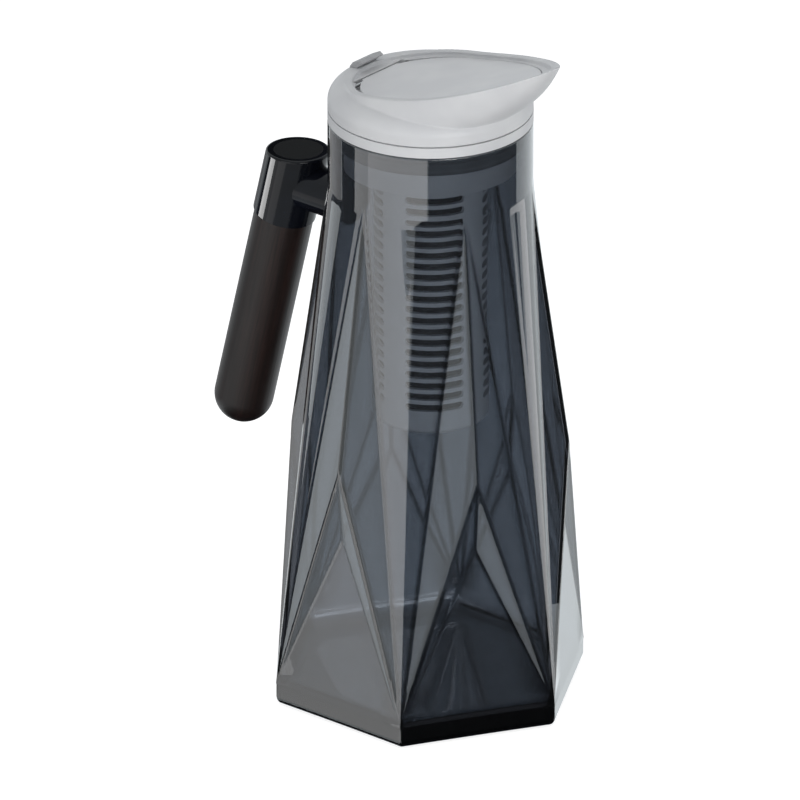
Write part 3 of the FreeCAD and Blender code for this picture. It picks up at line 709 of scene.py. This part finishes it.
shown = room.node("ShaderNodeMixShader", None, {0: seen_rays(room), 1: backdrop(SOFT_WHITE, ROOM_LIGHT),
                                                2: backdrop(WHITE, 1.0)})
mirrored = room.node("ShaderNodeLightPath", out="Is Glossy Ray")
shown = room.node("ShaderNodeMixShader", None, {0: mirrored, 1: shown, 2: backdrop(COOL_WHITE, 1.0)})
join(shown, world.node_tree.nodes.new("ShaderNodeOutputWorld"))
bpy.context.scene.world = world
print("room lights the object at", ROOM_LIGHT)

# %% [markdown]
# Three soft panels light the object from the front, the left and above. Small lamps would leave hard
# shadows. Clear plastic throws a shadow in Cycles unless caustics are traced, which is slow, so the jug
# is left out of what blocks these panels. Their light then passes the wall, and the strainer inside is
# lit as it is in a bright studio.

# %% Lamps
light_passes = bpy.data.collections.new("light_passes_jug")
light_passes.objects.link(smoked_jug)
light_passes.collection_objects[0].light_linking.link_state = "EXCLUDE"


def add_panel(name, place, aim, size, watts):
    data = bpy.data.lights.new(name, "AREA")
    data.shape, (data.size, data.size_y), data.energy = "RECTANGLE", size, watts
    panel = bpy.data.objects.new(name, data)
    panel.location = place
    panel.rotation_euler = (aim - place).to_track_quat("-Z", "Y").to_euler()
    panel.light_linking.blocker_collection = light_passes
    panel.visible_camera = False
    bpy.context.collection.objects.link(panel)
    return panel


def spot(right, ahead, up):
    """A place in the studio, as the camera sees it."""
    return to_the_right * right + towards_front * ahead + Vector((0, 0, up))


add_panel("left_panel", spot(-1.0, 0.9, 0.5), looked_at, (0.8, 0.8), 2.9)
add_panel("front_panel", spot(0.5, 1.3, 0.42), looked_at, (1.0, 0.6), 8.8)
add_panel("top_panel", spot(0, 0, 1.5), looked_at, (1.0, 1.0), 1.9)

# %% [markdown]
# The holder is so dark that only its reflections show that it is round. In the studio a narrow light
# beside it draws a pale streak down its side. Painting the streak on would fix it to the plastic, so a
# small panel makes it, and light linking keeps that panel away from everything else.

# %% A streak on the holder
STREAK_TURN, STREAK_AWAY, STREAK_DROP = radians(-98), 0.34, 0.12
holder_middle = Vector((-76, 0, 222)) * MM
streak_way = Matrix.Rotation(STREAK_TURN, 3, "Z") @ towards_front
streak_place = holder_middle + streak_way * STREAK_AWAY - Vector((0, 0, STREAK_DROP))
holder_streak = add_panel("holder_streak", streak_place, holder_middle, (0.13, 0.2), 1.1)
only_holder = bpy.data.collections.new("only_holder")
only_holder.objects.link(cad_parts["handle_holder"])
holder_streak.light_linking.receiver_collection = only_holder

# %% [markdown]
# A polished jug shows its surroundings. Photographers set dark and light cards round it, so that one
# facet turns bright and the next one dark. A card close by would cut across a facet, because each point
# of the facet mirrors another part of it. These cards lie twenty metres below the floor instead, where
# a flat facet mirrors one direction and takes one tone. Only mirror reflections see them. An outline
# lists directions: metres to the right and ahead, as the camera sees them, for each metre down.

# %% Cards that only reflections see
FAR = 20.0
NEARER = 0.99 * FAR
CARD_LOW, CARD_HIGH = (0.01, 0.012, 0.016, 1), (0.02, 0.022, 0.028, 1)
CARD_WHITE = (0.96, 0.98, 1, 1)


def add_card(name, outline, finish, height, spread=1.0):
    """A card at a height; its outline is (right, ahead) times spread, in metres."""
    corners = [spot(right * spread, ahead * spread, 0) for right, ahead in outline]
    card = stage_mesh(name, corners, height, finish)
    for kind in ("camera", "diffuse", "transmission", "volume_scatter", "shadow"):
        setattr(card, "visible_" + kind, False)


def far_card(name, outline, finish, depth=FAR):
    add_card(name, outline, finish, -depth, depth)


def card_light(name, strength):
    material, end, places = new_finish(name)
    tint = places.noise(5).blend(CARD_WHITE, WHITE)
    join(places.node("ShaderNodeEmission", None, {"Color": tint, "Strength": strength}), end)
    return material


card_black, end, places = new_finish("card_black")
surface(end, places, {"Base Color": places.noise(20).blend(CARD_LOW, CARD_HIGH), "Roughness": 0.9})
print("cards lie", FAR, "m below the floor")

# %% [markdown]
# The side of the jug at the right is dark. One large card gives it that tone, and its left edge parts
# the dark side from the light one along the front corner. A small card darkens the slim facet beside the
# right corner, and a bright strip between the two draws the pale line down that corner. Each edge of an
# outline was moved until the facets took their tones.

# %% Cards for the dark right side
far_card("dark_card_right",
         [(0.45, 0.45), (0.4, 1.3), (0.25, 1.8), (-0.05, 2.2), (-0.55, 3.3), (-1.45, 4.6), (-1.5, 5.25),
          (-0.6, 5.42), (0.4, 5.42), (1.4, 6.2), (4, 12.3), (12, 12.3), (12, 0.65), (3.9, -0.35),
          (3.05, -0.38), (2.5, -1.02), (1.85, -0.78), (1.2, 0.0), (0.5, 0.1)], card_black)
far_card("dark_card_facet", [(3.40, -0.82), (3.27, -1.25), (3.64, -1.40), (3.79, -0.91)], card_black)
far_card("corner_strip",
         [(3.7, -0.42), (3.7, -0.55), (3.30, -0.95), (3.05, -1.38), (2.5, -1.95), (2.1, -1.6),
          (2.7, -1.0), (3.1, -0.42)], card_light("corner_light", 1.8))
print("right side: two dark cards and a bright strip")

# %% [markdown]
# The side at the left is light. Two bright cards, one softer than the other, turn its facets pale. A
# dark card hangs a little nearer than these, and covers them where a facet between pale ones is dark.
# A grey card tones the facets towards the grip. One dark card lies at floor level behind the jug at the
# left, where its edge should run across a facet.

# %% Cards for the light left side
add_card("dark_card_back_left", [(-0.06, -0.08), (-0.7, -1.6), (-0.02, -1.6), (-0.02, -0.09)],
         card_black, -FLOOR_DROP / 2)
far_card("left_light",
         [(-0.4, 1.85), (-0.15, 2.3), (-0.62, 3.3), (-1.52, 4.6), (-1.78, 4.95), (-3.8, 3.55),
          (-5.02, 1.35), (-1.8, 0.5)], card_light("left_glow", 2.2))
far_card("left_soft_light", [(-1.8, 0.5), (-5.02, 1.35), (-5.2, -0.6), (-1.6, -0.2)],
         card_light("left_soft_glow", 1.5))
far_card("dark_card_left",
         [(-3.6, 0.2), (-3.55, -0.7), (-3.2, -1.25), (-2.68, -1.52), (-2.43, -1.8), (-1.75, -2.25),
          (-1.65, -1.9), (-2.3, -1.5), (-1.9, -0.9), (-2.0, -0.2), (-2.95, -0.15), (-2.95, 0.1)],
         card_black, NEARER)
far_card("grey_card_left", [(-1.7, -0.95), (-2.3, -1.3), (-1.75, -2.6), (-1.1, -2.7), (-0.8, -1.7)],
         card_light("grey_glow", 0.4))
print("left side: two bright cards, two dark ones and a grey one")

# %% [markdown]
# Two last cards serve surfaces that aren't facets. The rounded edge of the base mirrors what is below,
# so a round dark card there draws the black line under the jug. Level surfaces, such as the top of the
# holder, mirror what is above and behind. A dark card hangs there, so that black stays black.

# %% Cards below and above
far_card("dark_card_below", [(cos(radians(a)), sin(radians(a))) for a in range(0, 360, 30)], card_black)
add_card("dark_card_above", [(-0.45, -1.7), (0.45, -1.7), (0.45, -2.9), (-0.45, -2.9)],
         card_black, FAR, FAR)

# %% [markdown]
# The dressed jug must keep the size of the CAD model. A look at the picture can't tell a millimetre, so
# both boxes are measured and printed.

# %% Measure both boxes
visual_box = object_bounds()
for name, box in (("CAD", cad_box), ("dressed", visual_box)):
    print(name, "box in mm:", [[round(v / MM, 1) for v in corner] for corner in box])
